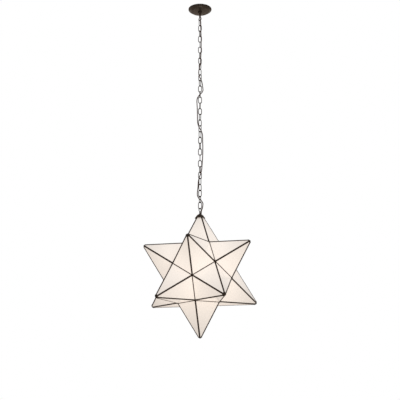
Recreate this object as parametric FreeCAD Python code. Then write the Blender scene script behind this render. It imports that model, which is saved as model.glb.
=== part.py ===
"""Moravian star pendant: a twelve-pointed glass star hung on a chain from a ceiling canopy.

Millimetres, +Z up. The origin is the centre of the canopy's rim, in the plane of the ceiling.
One upper point of the star faces -Y.
"""
import FreeCAD, Part
import math
import os

from FreeCAD import Vector

# ---- star: glass panels, cames and solder ----
star_tip_radius = 350.0        # centre to where the ridge lines of a point would meet
blunt_tip_radius = 341.0       # centre to the end of a point's solder tip
glass_thickness = 3.0
ridge_came_reach = 3.7         # how far a ridge came's flange covers each panel
ridge_came_crest = 1.6         # half width of the flat on a ridge came
ridge_came_rise = 1.5          # crest of a ridge came above the ridge line
valley_came_reach = 2.4        # how far a valley came's flange covers each panel
came_heart = 1.5               # thickness of the web between two panels
came_depth_past_glass = 0.3    # the web shows this much inside the glass
glass_gap = 0.3                # between a panel's edge and a came's web
tip_solder_length = 7.0
joint_solder_radius = 5.0      # lump of solder where six cames meet
solder_gap = 0.3               # cames and panels stop this short of the solder

# ---- vase cap on the truncated top point ----
cap_rim_radius = 26.25
cap_height = 20.8
cap_wall = 1.2
cap_flat_radius = 9.8
cap_lip = 1.3                  # short upright edge at the rim
cap_sides = 40
cap_over_glass = 0.45          # between the rim's inner edge and the top point's corners
top_glass_cut = 12.0           # the top panels reach this far above the cap's rim

# ---- chain ----
number_of_links = 33
link_pitch = 34.33
link_width = 21.8              # outside, across the two legs
wire_diameter = 4.2            # across the corners of the six-sided wire
wire_sides = 6
crown_bends = 6                # mitred bends in each half-round end of a link
pivot_play = 0.13              # between two links while one turns on the other
first_link_azimuth = 66.0      # degrees, the plane of the first link
link_turn = 99.0               # degrees, a quarter turn and the chain's slight twist

# ---- canopy and what holds it ----
canopy_radius = 67.5
canopy_depth = 20.0
canopy_wall = 1.2
canopy_rim_height = 5.0
canopy_shoulder = 3.5          # how far in and down the rim turns over
canopy_ledge_reach = 8.0       # rim to the inner edge of the narrow ledge
canopy_ledge_fall = 0.3        # the ledge's slope
canopy_ring_reach = 15.0       # rim to the foot of the shallow dome
canopy_dome_rise = 4.0         # height of the shallow dome
canopy_centre_radius = 20.0
canopy_sides = 72              # flat steps round the canopy
fitting_sides = 24             # flat steps round the small turned pieces
shank_radius = 4.85            # threaded pipe size used at the canopy and in the star
shank_clearance = 0.15
collar_radius = 11.5
collar_height = 5.0
loop_flange_radius = 11.2      # foot of the canopy's loop, where the cord comes out
loop_flange_height = 3.0
loop_neck_radius = 5.0         # at the flange
loop_neck_end_radius = 4.0     # at the ring
canopy_ring_radius = 10.0      # loop under the canopy, to the middle of its wire
ring_bends = 12
canopy_ring_drop = 35.5        # flange's underside to the middle of the loop

crossbar_end = 2.6             # metal left past each slot
crossbar_width = 20.0
crossbar_thickness = 2.0
crossbar_offset = 9.0          # its middle hangs this far below its ears
crossbar_middle = 34.0
crossbar_slot_spacing = 88.9
crossbar_slot_length = 12.0
crossbar_slot_width = 4.8
nut_flats = 14.3
nut_thickness = 4.5
collar_bevel = 1.5
shank_above_nut = 2.0

# ---- loop, stem, socket and bulb of the star ----
star_ring_radius = 9.5
star_ring_azimuth = 64.0
star_neck_height = 13.4
star_neck_radius = 3.7         # at the foot
star_neck_end_radius = 3.0     # at the ring
star_foot_radius = 9.8         # where the cord goes in
star_foot_height = 2.0
stem_length = 232.0
stem_bore_radius = 3.2
socket_radius = 17.5
socket_length = 55.0
socket_shoulder = 10.0
socket_bore_radius = 13.5
socket_bore_depth = 30.0
bulb_base_radius = 13.3
bulb_base_length = 26.0
bulb_neck_radius = 14.5
bulb_radius = 30.0
bulb_length = 84.0             # glass below the screw shell
bulb_skin = 1.0

# ---- lamp cord ----
cord_diameter = 5.5
cord_sides = 6
cord_lay = 16.0                # from the axis, where it hangs beside the chain
cord_crossing_reach = 19.5     # the same, where it turns in towards a link's opening
cord_crossing_rise = 16.5      # and how far above and below the middle of that link
cord_longest_run = 70.0
cord_shortest_run = 30.0
cord_end_run = 16.0            # straight out of the canopy's loop and into the star's foot
cord_last_turn_rise = 38.0     # last turn above the star's foot
cord_top_offset = 8.2          # where it leaves the canopy's loop, from the axis
cord_end_offset = 6.9          # where it enters the star's foot, from the axis
cord_end_gap = 0.2
# Where the cord goes: beside a link, in a direction from the axis, or through its opening
# from one side (1) or the other (-1).
cord_stops = (
    (1, "beside", 290), (3, "beside", 304), (5, "beside", 308), (7, "beside", 304),
    (9, "beside", 285), (11, "through", -1), (14, "through", 1), (20, "through", 1),
    (28, "through", 1), (32, "through", -1),
)
cord_top_azimuth = 283.0
cord_end_azimuth = 357.0

# ---- sizes that follow from the ones above ----
golden = (1 + math.sqrt(5)) / 2
face_distance = star_tip_radius / math.sqrt(5)
half_fold = math.acos(1 / math.sqrt(5)) / 2    # half the angle between two panels' normals
point_taper = 2 / (1 + math.sqrt(5))           # a point's corner radius per mm below its tip

wire_corner = wire_diameter / 2
wire_flat = wire_corner * math.cos(math.pi / wire_sides)
link_half_width = link_width / 2 - wire_flat
wire_spacing = wire_corner + wire_flat + pivot_play
link_length = link_pitch + wire_spacing        # between the middles of a link's two crowns

collar_bottom = -canopy_depth - collar_height
loop_flange_bottom = collar_bottom - loop_flange_height
canopy_ring_z = loop_flange_bottom - canopy_ring_drop
first_pivot_z = canopy_ring_z - canopy_ring_radius
last_pivot_z = first_pivot_z - number_of_links * link_pitch

star_ring_top = last_pivot_z + wire_spacing
star_ring_z = star_ring_top - star_ring_radius
star_neck_top = star_ring_z - star_ring_radius - wire_corner
star_foot_top = star_neck_top - star_neck_height
star_foot_z = star_foot_top - star_foot_height
cap_rim_z = star_foot_z - cap_height
cap_inner_radius = cap_rim_radius - cap_wall
rim_below_tip = (cap_inner_radius - cap_over_glass) / point_taper
star_centre_z = cap_rim_z - (star_tip_radius - rim_below_tip)
star_centre = Vector(0, 0, star_centre_z)

crossbar_length = crossbar_slot_spacing + crossbar_slot_length + 2 * crossbar_end
crossbar_middle_z = -crossbar_offset - crossbar_thickness
nut_bottom_z = -crossbar_offset
shank_top_z = nut_bottom_z + nut_thickness + shank_above_nut
loop_neck_bottom = canopy_ring_z + canopy_ring_radius
socket_top_z = star_foot_z - stem_length
bulb_glass_top = socket_top_z - socket_length
bulb_top_z = bulb_glass_top + bulb_base_length


def point_at(azimuth, radius, z):
    """A point given by its direction in degrees, its distance from the axis and its height."""
    a = math.radians(azimuth)
    return Vector(radius * math.cos(a), radius * math.sin(a), z)


def unit(vector):
    """The same direction, one long."""
    return vector * (1 / vector.Length)


def prism(corners, push):
    """A flat polygon pushed along a vector."""
    return Part.Face(Part.makePolygon(corners + corners[:1])).extrude(push)


def turned(profile, sides):
    """A closed outline of (radius, height) corners carried round the Z axis in flat steps."""
    step = 360 / sides
    faces = []
    for (r0, z0), (r1, z1) in zip(profile, profile[1:] + profile[:1]):
        for k in range(sides):
            corners = []
            for azimuth, ends in ((step * k, (0, 1)), (step * (k + 1), (1, 0))):
                for end in ends:
                    place = point_at(azimuth, (r0, r1)[end], (z0, z1)[end])
                    if not corners or (place - corners[-1]).Length > 1e-6:
                        corners.append(place)
            if (corners[0] - corners[-1]).Length < 1e-6:
                corners.pop()
            if len(corners) > 2:
                faces.append(Part.Face(Part.makePolygon(corners + corners[:1])))
    return outward(Part.Solid(Part.Shell(faces)))


def cylinder(radius, bottom, top):
    """An upright cylinder on the Z axis."""
    return Part.makeCylinder(radius, top - bottom, Vector(0, 0, bottom))


def wall_under(outside, thickness):
    """The closed outline of a thin turned shell, from its outside corners and its wall."""
    inside = []
    for i, (r, z) in enumerate(outside):
        before = outside[max(i - 1, 0)]
        after = outside[min(i + 1, len(outside) - 1)]
        along_in = unit(Vector(r - before[0], z - before[1], 0)) if i else None
        last = i == len(outside) - 1
        along_out = None if last else unit(Vector(after[0] - r, after[1] - z, 0))
        first_way = along_in or along_out
        second_way = along_out or along_in
        mean = unit(first_way + second_way)
        depth = thickness / mean.dot(first_way)
        inside.append((r + mean.y * depth, z - mean.x * depth))
    return outside + inside[::-1]


def hexagon(flats, z):
    """The corners of a flat hexagon on the Z axis."""
    corner = flats / math.sqrt(3)
    return [point_at(60 * k, corner, z) for k in range(6)]


def hex_nut(bottom):
    """A hexagon nut on the pipe size."""
    body = prism(hexagon(nut_flats, bottom), Vector(0, 0, nut_thickness))
    bore = cylinder(shank_radius + shank_clearance, bottom - 1, bottom + nut_thickness + 1)
    return body.cut(bore)


# ---- bent wire: the links and the two loops ----

def bent_wire(outline, azimuth):
    """A closed loop of many-sided wire, mitred at each bend.

    outline(offset) gives the loop's corners as (across, height) for a line that lies
    that far outside the middle of the wire. azimuth is the direction of the loop's plane.
    """
    along = point_at(azimuth, 1, 0)
    side = point_at(azimuth + 90, 1, 0)
    rings = []
    for k in range(wire_sides):
        a = math.pi * (2 * k + 1) / wire_sides
        out = wire_corner * math.cos(a)
        off = wire_corner * math.sin(a)
        rings.append([along * x + side * off + Vector(0, 0, z) for x, z in outline(out)])
    faces = []
    for ring, after in zip(rings, rings[1:] + rings[:1]):
        for i in range(len(ring)):
            corners = [ring[i - 1], ring[i], after[i], after[i - 1]]
            faces.append(Part.Face(Part.makePolygon(corners + corners[:1])))
    return outward(Part.Solid(Part.Shell(faces)))


def outward(solid):
    """The solid with its faces pointing out."""
    if solid.Volume < 0:
        solid.reverse()
    return solid


def link_azimuth(number):
    """The direction of a link's plane, in degrees. Number 0 is the canopy's loop."""
    return first_link_azimuth + link_turn * (number - 1)


def chain_link(number):
    """One oval link: two straight legs and two half-round crowns."""
    top = first_pivot_z + wire_spacing - (number - 1) * link_pitch
    middle = top - link_length / 2
    straight = link_length / 2 - link_half_width
    step = math.pi / crown_bends

    def outline(offset):
        """Corners round the link, the upper crown first."""
        radius = (link_half_width + offset) / math.cos(step / 2)
        upper = []
        for k in range(crown_bends):
            a = step * (k + 0.5)
            upper.append((radius * math.cos(a), radius * math.sin(a) + straight))
        lower = [(-x, -z) for x, z in upper]
        return [(x, z + middle) for x, z in upper + lower]

    return bent_wire(outline, link_azimuth(number))


def wire_ring(ring_radius, z, azimuth):
    """A round ring of the same wire, with a flat at its lowest and highest places."""
    step = 2 * math.pi / ring_bends

    def outline(offset):
        """Corners round the ring."""
        radius = (ring_radius + offset) / math.cos(step / 2)
        angles = [step * (k + 0.5) for k in range(ring_bends)]
        return [(radius * math.cos(a), z + radius * math.sin(a)) for a in angles]

    return bent_wire(outline, azimuth)


# ---- ceiling canopy ----

def canopy():
    """Spun steel pan: upright rim, rounded shoulder, raised ring and a shallow dome."""
    rim = canopy_radius
    ledge = -canopy_rim_height - canopy_shoulder
    outside = [
        (rim, 0),
        (rim, -canopy_rim_height),
        (rim - canopy_shoulder, ledge),
        (rim - canopy_ledge_reach, ledge - canopy_ledge_fall),
        (rim - canopy_ring_reach, -canopy_depth + canopy_dome_rise),
        (canopy_centre_radius, -canopy_depth),
        (shank_radius + shank_clearance, -canopy_depth),
    ]
    return turned(wall_under(outside, canopy_wall), canopy_sides)


def crossbar():
    """Steel strap that the outlet box's two screws hold, with a lowered middle."""
    half = crossbar_length / 2
    flat = crossbar_middle / 2
    bend = flat + crossbar_offset
    t = crossbar_thickness
    lift = t * math.tan(math.radians(22.5))
    upper = [(-half, 0), (-bend, 0), (-flat, -crossbar_offset)]
    upper += [(-x, z) for x, z in upper[::-1]]
    lower = [(half, -t), (bend - lift, -t), (flat - lift, -crossbar_offset - t)]
    lower += [(-x, z) for x, z in lower[::-1]]
    side = -crossbar_width / 2
    corners = [Vector(x, side, z) for x, z in upper + lower]
    strap = prism(corners, Vector(0, crossbar_width, 0))
    below = crossbar_middle_z - 1
    strap = strap.cut(cylinder(shank_radius + shank_clearance, below, 1))
    for way in (-1, 1):
        strap = strap.cut(slot(way * crossbar_slot_spacing / 2, below))
    return strap


def slot(x, below):
    """The tool that cuts one screw slot, long in X."""
    r = crossbar_slot_width / 2
    run = crossbar_slot_length / 2 - r
    tool = Part.makeBox(2 * run, 2 * r, 1 - below, Vector(x - run, -r, below))
    for end in (-run, run):
        tool = tool.fuse(Part.makeCylinder(r, 1 - below, Vector(x + end, 0, below)))
    return tool.removeSplitter()


def loop_collar():
    """Ring nut that screws up the loop's shank and holds the canopy to the ceiling."""
    inner = shank_radius + shank_clearance
    top = -canopy_depth
    return turned([
        (inner, top), (collar_radius, top), (collar_radius, collar_bottom + collar_bevel),
        (collar_radius - collar_bevel, collar_bottom), (inner, collar_bottom),
    ], fitting_sides)


def canopy_loop():
    """Screw loop: threaded shank, flange that the cord comes out of, neck and ring."""
    stem = turned([
        (0, shank_top_z), (shank_radius, shank_top_z), (shank_radius, collar_bottom),
        (loop_flange_radius, collar_bottom), (loop_flange_radius, loop_flange_bottom),
        (loop_neck_radius, loop_flange_bottom), (loop_neck_end_radius, loop_neck_bottom),
        (0, loop_neck_bottom),
    ], fitting_sides)
    ring = wire_ring(canopy_ring_radius, canopy_ring_z, link_azimuth(0))
    return stem.fuse(ring).removeSplitter()


# ---- star ----

def tip_directions():
    """Unit vectors to the twelve points, with the names of the points."""
    ring = 2 / math.sqrt(5)
    rise = 1 / math.sqrt(5)
    tips = {"top": Vector(0, 0, 1), "bottom": Vector(0, 0, -1)}
    for k in range(5):
        tips["upper_%d" % (k + 1)] = point_at(-90 + 72 * k, ring, rise)
        tips["lower_%d" % (k + 1)] = point_at(-54 + 72 * k, ring, -rise)
    return tips


def neighbours(tip, tips):
    """The five nearest points, in order round the given one."""
    near = [q for q in tips.values() if 0 < tip.dot(q) < 0.9]
    start = near[0]
    across = tip.cross(start)

    def place(q):
        """Angle round the point's own axis."""
        return math.atan2(q.dot(across), (q - tip * q.dot(tip)).dot(start))

    return sorted(near, key=place)


def hollow_corner(a, b, c):
    """The inner corner where three neighbouring points of the star meet."""
    total = a + b + c
    return star_centre + total * (face_distance / total.dot(a))


def tip_place(tip):
    """Where the ridge lines of a point would meet."""
    return star_centre + tip * star_tip_radius


def trim(corners, place, keep):
    """A convex polygon without what lies behind a plane; keep points to the kept side."""
    kept = []
    for here, there in zip(corners, corners[1:] + corners[:1]):
        d0 = (here - place).dot(keep)
        d1 = (there - place).dot(keep)
        if d0 >= 0:
            kept.append(here)
        if d0 * d1 < 0:
            kept.append(here + (there - here) * (d0 / (d0 - d1)))
    return kept


def glass_inset_at_ridge():
    """From the ridge line to the panel's edge, so that its inner edge clears the web."""
    reach = came_heart / 2 + glass_gap + glass_thickness * math.sin(half_fold)
    return reach / math.cos(half_fold)


def glass_inset_at_valley():
    """From the valley line to the panel's edge, so that its outer edge clears the web."""
    return (came_heart / 2 + glass_gap) / math.cos(half_fold)


def tip_cut(name):
    """How far below the ideal tip a point's panels and cames begin."""
    if name == "top":
        return rim_below_tip - top_glass_cut
    return star_tip_radius - blunt_tip_radius + tip_solder_length + solder_gap


def glass_panel(name, tip, facing, left, right):
    """One triangle of glass: its outer face lies in the plane that faces along facing."""
    peak = tip_place(tip)
    corners = [peak, left, right]
    middle = (peak + left + right) * (1 / 3)
    for a, b, inset in (
        (peak, left, glass_inset_at_ridge()),
        (peak, right, glass_inset_at_ridge()),
        (left, right, glass_inset_at_valley()),
    ):
        inward = unit(facing.cross(b - a))
        if inward.dot(middle - a) < 0:
            inward = inward * -1
        corners = trim(corners, a + inward * inset, inward)
    corners = trim(corners, peak - tip * tip_cut(name), tip * -1)
    for corner, other in ((left, right), (right, left)):
        inward = unit(unit(peak - corner) + unit(other - corner))
        clear = joint_solder_radius + solder_gap
        corners = trim(corners, corner + inward * clear, inward)
    return prism(corners, facing * -glass_thickness)


def strip(start, end, outward_way, section):
    """A came: a section of (across, outward) corners pushed along a line."""
    along = unit(end - start)
    across = along.cross(outward_way)
    corners = [start + across * x + outward_way * y for x, y in section]
    return prism(corners, end - start)


def ridge_section():
    """Flange over both panels, and the web between them."""
    c, s, t = math.cos(half_fold), math.sin(half_fold), math.tan(half_fold)
    reach = ridge_came_reach
    web = came_heart / 2
    inset = glass_inset_at_ridge()
    depth = inset * s + glass_thickness * c + came_depth_past_glass
    right = [
        (ridge_came_crest, ridge_came_rise), (reach * c, -reach * s),
        (web, -web * t), (web, -depth),
    ]
    return right + [(-x, y) for x, y in right[::-1]]


def valley_section():
    """Flange in the hollow between two points, and the web between the panels."""
    c, s, t = math.cos(half_fold), math.sin(half_fold), math.tan(half_fold)
    reach = valley_came_reach
    web = came_heart / 2
    depth = glass_thickness * c - glass_inset_at_valley() * s + came_depth_past_glass
    right = [(reach * c, reach * s), (web, web * t), (web, -depth)]
    return right + [(-x, y) for x, y in right[::-1]]


def ridge_came(name, tip, first, second, corner):
    """The came from a point's tip down to an inner corner."""
    peak = tip_place(tip)
    way = unit(corner - peak)
    lean = -way.dot(tip)
    outward_way = unit(first + second)
    lift = ridge_came_rise * outward_way.dot(tip)
    if name == "top":
        below = rim_below_tip + solder_gap
    else:
        below = tip_cut(name)
    start = peak + way * ((below + lift) / -way.dot(tip))
    end = corner - way * (joint_solder_radius + solder_gap)
    return strip(start, end, outward_way, ridge_section())


def valley_came(first, second, left, right):
    """The came in the hollow between two neighbouring points."""
    way = unit(right - left)
    clear = joint_solder_radius + solder_gap
    return strip(left + way * clear, right - way * clear, unit(first + second),
                 valley_section())


def tip_solder(tip, corners):
    """Five-sided cap of solder that closes a point and binds its ridge cames."""
    peak = tip_place(tip)
    short = star_tip_radius - blunt_tip_radius
    base_below = short + tip_solder_length
    top_below = short + 1.2
    rings = []
    for below, size in ((base_below, 0.98), (top_below, 0.62)):
        ring = []
        for corner in corners:
            place = peak + (corner - peak) * (below / (star_tip_radius - face_distance))
            axis = peak - tip * below
            ring.append(axis + (place - axis) * size)
        rings.append(ring)
    end = star_centre + tip * blunt_tip_radius
    faces = [rings[0]]
    for i in range(5):
        faces.append([rings[0][i - 1], rings[0][i], rings[1][i], rings[1][i - 1]])
        faces.append([rings[1][i - 1], rings[1][i], end])
    sides = [Part.Face(Part.makePolygon(f + f[:1])) for f in faces]
    return outward(Part.Solid(Part.Shell(sides)))


def joint_solder(corner):
    """A twenty-sided lump of solder where three ridges and three valleys meet."""
    size = joint_solder_radius / math.sqrt(1 + golden ** 2)
    places = []
    for a in (-1, 1):
        for b in (-golden, golden):
            places += [Vector(0, a, b), Vector(a, b, 0), Vector(b, 0, a)]
    places = [corner + p * size for p in places]
    reach = 2 * size * 1.01
    sides = []
    for i, a in enumerate(places):
        for j in range(i + 1, len(places)):
            for k in range(j + 1, len(places)):
                b, c = places[j], places[k]
                if max((a - b).Length, (b - c).Length, (c - a).Length) < reach:
                    sides.append(Part.Face(Part.makePolygon([a, b, c, a])))
    return outward(Part.Solid(Part.Shell(sides)))


def star_parts():
    """Glass, cames and solder of all twelve points, by node name."""
    tips = tip_directions()
    nodes = {}
    ridges, valleys = [], []
    seen = set()
    for name, tip in tips.items():
        near = neighbours(tip, tips)
        corners = [hollow_corner(tip, near[i - 1], near[i]) for i in range(5)]
        panels = []
        for i in range(5):
            left, right = corners[i], corners[(i + 1) % 5]
            panels.append(glass_panel(name, tip, near[i], left, right))
            ridges.append(ridge_came(name, tip, near[i - 1], near[i], corners[i]))
            edge = frozenset((key(tip), key(near[i])))
            if edge not in seen:
                valleys.append(valley_came(tip, near[i], left, right))
                seen.add(edge)
        for corner in corners:
            if key(corner) not in seen:
                valleys.append(joint_solder(corner))
                seen.add(key(corner))
        if name != "top":
            ridges.append(tip_solder(tip, corners))
        nodes["glass_point_" + name] = Part.makeCompound(panels)
    nodes["ridge_cames"] = Part.makeCompound(ridges)
    nodes["valley_cames"] = Part.makeCompound(valleys)
    return nodes


def key(place):
    """A name for a place, good to a micrometre."""
    return tuple(round(v, 3) for v in (place.x, place.y, place.z))


def vase_cap():
    """Spun brass cap over the cut top point."""
    rim, top = cap_rim_radius, star_foot_z
    fall = top - cap_rim_z - cap_lip
    across = rim - cap_flat_radius
    outside = [
        (rim, cap_rim_z),
        (rim, cap_rim_z + cap_lip),
        (rim - 0.12 * across, top - 0.68 * fall),
        (rim - 0.40 * across, top - 0.28 * fall),
        (cap_flat_radius, top),
        (shank_radius + shank_clearance, top),
    ]
    closed = wall_under([(r, -z) for r, z in outside], cap_wall)
    return turned([(r, -z) for r, z in closed], cap_sides)


def star_loop():
    """Ring that the last link carries, with a neck and a foot that stands on the cap."""
    into_wire = star_neck_top + wire_corner
    neck = turned([
        (0, star_foot_z), (star_foot_radius, star_foot_z), (star_foot_radius, star_foot_top),
        (star_neck_radius, star_foot_top), (star_neck_end_radius, into_wire), (0, into_wire),
    ], fitting_sides)
    ring = wire_ring(star_ring_radius, star_ring_z, star_ring_azimuth)
    return neck.fuse(ring).removeSplitter()


def stem_pipe():
    """Threaded pipe from the loop's foot down to the socket, with the wires' bore."""
    tube = cylinder(shank_radius, socket_top_z, star_foot_z)
    return tube.cut(cylinder(stem_bore_radius, socket_top_z - 1, star_foot_z + 1))


def stem_nut():
    """Hexagon nut that draws the cap up against the loop's foot."""
    return hex_nut(star_foot_z - cap_wall - nut_thickness)


def socket():
    """Lamp socket: shouldered shell, open below for the bulb's screw shell."""
    top, bottom = socket_top_z, socket_top_z - socket_length
    roof = bottom + socket_bore_depth
    return turned([
        (0, top), (shank_radius + 2, top), (socket_radius, top - socket_shoulder),
        (socket_radius, bottom), (socket_bore_radius, bottom),
        (socket_bore_radius, roof), (0, roof),
    ], fitting_sides)


def bulb_base():
    """Screw shell of the lamp."""
    top = bulb_top_z
    return turned([
        (0, top), (bulb_base_radius * 0.45, top), (bulb_base_radius, top - 4),
        (bulb_base_radius, bulb_glass_top), (0, bulb_glass_top),
    ], fitting_sides)


def bulb_body(skin):
    """The bulb's outline turned solid, smaller all over by a skin."""
    neck_top = bulb_glass_top + skin
    radius = bulb_radius - skin
    low = bulb_glass_top - bulb_length + skin
    widest = low + radius
    outline = [(0, neck_top), (bulb_neck_radius - skin, neck_top)]
    outline += [(bulb_radius * 0.72 - skin, bulb_glass_top - 0.36 * (bulb_glass_top - widest))]
    for degrees in (20, -10, -40, -70):
        a = math.radians(degrees)
        outline.append((radius * math.cos(a), widest + radius * math.sin(a)))
    return turned(outline + [(0, low)], fitting_sides)


def bulb_glass():
    """Pear-shaped glass of the lamp, open at its neck."""
    return bulb_body(0).cut(bulb_body(bulb_skin))


# ---- lamp cord ----

def link_middle(number):
    """The height of a link's middle."""
    return first_pivot_z + wire_spacing - (number - 1) * link_pitch - link_length / 2


def cord_stop_places():
    """Each stop's azimuth, distance from the axis, height and whether it ends a crossing."""
    places = []
    for number, kind, side in cord_stops:
        middle = link_middle(number)
        if kind == "beside":
            places.append((side, cord_lay, middle, False))
            continue
        azimuth = link_azimuth(number) + 90 * side
        above, below = middle + cord_crossing_rise, middle - cord_crossing_rise
        places.append((azimuth, cord_crossing_reach, above, False))
        places.append((azimuth + 180, cord_crossing_reach, below, True))
    return places


def cord_corners():
    """Corners of the route from the canopy loop's flange to the star loop's foot."""
    corners = [
        point_at(cord_top_azimuth, cord_top_offset, loop_flange_bottom),
        point_at(cord_top_azimuth, cord_top_offset, loop_flange_bottom - cord_end_run),
    ]
    before = None
    for azimuth, reach, z, crossing in cord_stop_places():
        if before and not crossing:
            turn = (azimuth - before[0] + 180) % 360 - 180
            drop = z - before[1]
            runs = max(math.ceil(-drop / cord_longest_run), math.ceil(abs(turn) / 25))
            runs = min(runs, max(1, int(-drop / cord_shortest_run)))
            for k in range(1, runs):
                part = k / runs
                corners.append(point_at(before[0] + turn * part, cord_lay,
                                        before[1] + drop * part))
        corners.append(point_at(azimuth, reach, z))
        before = (azimuth, z)
    corners += [
        point_at(cord_end_azimuth - 8, cord_lay, star_foot_top + cord_last_turn_rise),
        point_at(cord_end_azimuth, cord_end_offset, star_foot_top + cord_end_run),
        point_at(cord_end_azimuth, cord_end_offset, star_foot_top + cord_end_gap),
    ]
    return corners


def cord_path():
    """Straight runs joined by tangent arcs, each as large as its two runs allow."""
    places = cord_corners()
    edges = []
    here = places[0]
    radii = []
    for before, corner, after in zip(places, places[1:], places[2:]):
        back, on = unit(before - corner), unit(after - corner)
        half_turn = (math.pi - back.getAngle(on)) / 2
        tangent = 0.45 * min((before - corner).Length, (after - corner).Length)
        radius = tangent / math.tan(half_turn)
        radii.append(radius)
        start, end = corner + back * tangent, corner + on * tangent
        bisector = unit(back + on)
        middle = corner + bisector * (radius / math.cos(half_turn) - radius)
        edges.append(Part.LineSegment(here, start).toShape())
        edges.append(Part.Arc(start, middle, end).toShape())
        here = end
    edges.append(Part.LineSegment(here, places[-1]).toShape())
    print("cord radii", [round(r) for r in radii])
    return Part.Wire(edges)


def lamp_cord():
    """The cord as one tube along its route."""
    path = cord_path()
    start = path.Edges[0]
    centre = start.valueAt(start.FirstParameter)
    way = start.tangentAt(start.FirstParameter)
    across = unit(way.cross(Vector(1, 0, 0)))
    up = way.cross(across)
    corner = cord_diameter / 2
    ring = []
    for k in range(cord_sides):
        a = 2 * math.pi * k / cord_sides
        ring.append(centre + across * (corner * math.cos(a)) + up * (corner * math.sin(a)))
    section = Part.makePolygon(ring + ring[:1])
    tube = outward(path.makePipeShell([section], True, False))
    area = 0.5 * cord_sides * corner ** 2 * math.sin(2 * math.pi / cord_sides)
    print("cord length", round(path.Length, 1), "volume", round(tube.Volume),
          "section x length", round(area * path.Length), "valid", tube.isValid())
    return tube


def all_parts():
    """Every node's name and shape."""
    nodes = {
        "canopy": canopy(),
        "crossbar": crossbar(),
        "canopy_nut": hex_nut(nut_bottom_z),
        "loop_collar": loop_collar(),
        "canopy_loop": canopy_loop(),
        "vase_cap": vase_cap(),
        "star_loop": star_loop(),
        "stem_pipe": stem_pipe(),
        "stem_nut": stem_nut(),
        "socket": socket(),
        "bulb_base": bulb_base(),
        "bulb_glass": bulb_glass(),
    }
    for number in range(1, number_of_links + 1):
        nodes["chain_link_%02d" % number] = chain_link(number)
    nodes.update(star_parts())
    nodes["lamp_cord"] = lamp_cord()
    return nodes


def main():
    """Build every part and write one file for each."""
    os.makedirs("parts", exist_ok=True)
    for name, shape in all_parts().items():
        shape.exportStep("parts/%s.step" % name)
        solids = shape.Solids
        low, high = shape.BoundBox.ZMin, shape.BoundBox.ZMax
        print("%-22s %2d solids %10.0f mm3  z %8.1f .. %8.1f  %s" % (
            name, len(solids), shape.Volume, low, high, shape.isValid()))


main()
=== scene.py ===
"""Looks of the moravian star pendant: canopy, chain, cord, cap and a star of opal glass."""

import functools
import logging
import math
import random
from dataclasses import dataclass
from enum import Enum

import bmesh
import bpy
from bmesh.types import BMEdge, BMesh, BMFace, BMVert
from mathutils import Matrix, Vector


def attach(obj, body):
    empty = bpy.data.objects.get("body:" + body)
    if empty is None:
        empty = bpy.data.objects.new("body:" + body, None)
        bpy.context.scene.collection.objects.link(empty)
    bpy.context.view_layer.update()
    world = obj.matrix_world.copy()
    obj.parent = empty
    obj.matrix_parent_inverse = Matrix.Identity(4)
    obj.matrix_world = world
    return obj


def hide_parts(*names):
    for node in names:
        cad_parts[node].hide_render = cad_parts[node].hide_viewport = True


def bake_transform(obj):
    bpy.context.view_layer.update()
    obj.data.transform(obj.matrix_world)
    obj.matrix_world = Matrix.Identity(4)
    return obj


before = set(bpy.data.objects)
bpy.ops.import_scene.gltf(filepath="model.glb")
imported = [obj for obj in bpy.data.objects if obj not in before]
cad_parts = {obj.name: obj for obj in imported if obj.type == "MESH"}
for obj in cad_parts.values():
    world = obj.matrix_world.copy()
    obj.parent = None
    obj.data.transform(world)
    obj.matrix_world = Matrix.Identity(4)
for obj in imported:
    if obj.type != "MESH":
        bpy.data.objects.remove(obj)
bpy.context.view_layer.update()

logging.basicConfig(level=logging.INFO, format="%(message)s")
log = logging.getLogger("pendant")

MM = 0.001
NEAR = 0.001 * MM

Triple = tuple[float, float, float]
Pair = tuple[float, float]
Profile = list[tuple[float, ...]]


# ---- shader nodes ----


@dataclass(frozen=True)
class Signal:
    """A shader socket that can be used like a number."""

    graph: "Graph"
    socket: bpy.types.NodeSocket

    def __add__(self, other: "Signal | float") -> "Signal":
        """Sum."""
        return self.graph.node("ShaderNodeMath", {0: self, 1: other}, operation="ADD")

    __radd__ = __add__

    def __mul__(self, other: "Signal | float") -> "Signal":
        """Product."""
        return self.graph.node("ShaderNodeMath", {0: self, 1: other}, operation="MULTIPLY")

    __rmul__ = __mul__

    def ramp(self, low: float, high: float, start: float = 0.0, end: float = 1.0) -> "Signal":
        """Clamped linear map, which gives start at low and end at high."""
        inputs = {0: self, 1: low, 2: high, 3: start, 4: end}
        return self.graph.node("ShaderNodeMapRange", inputs, clamp=True)


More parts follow.
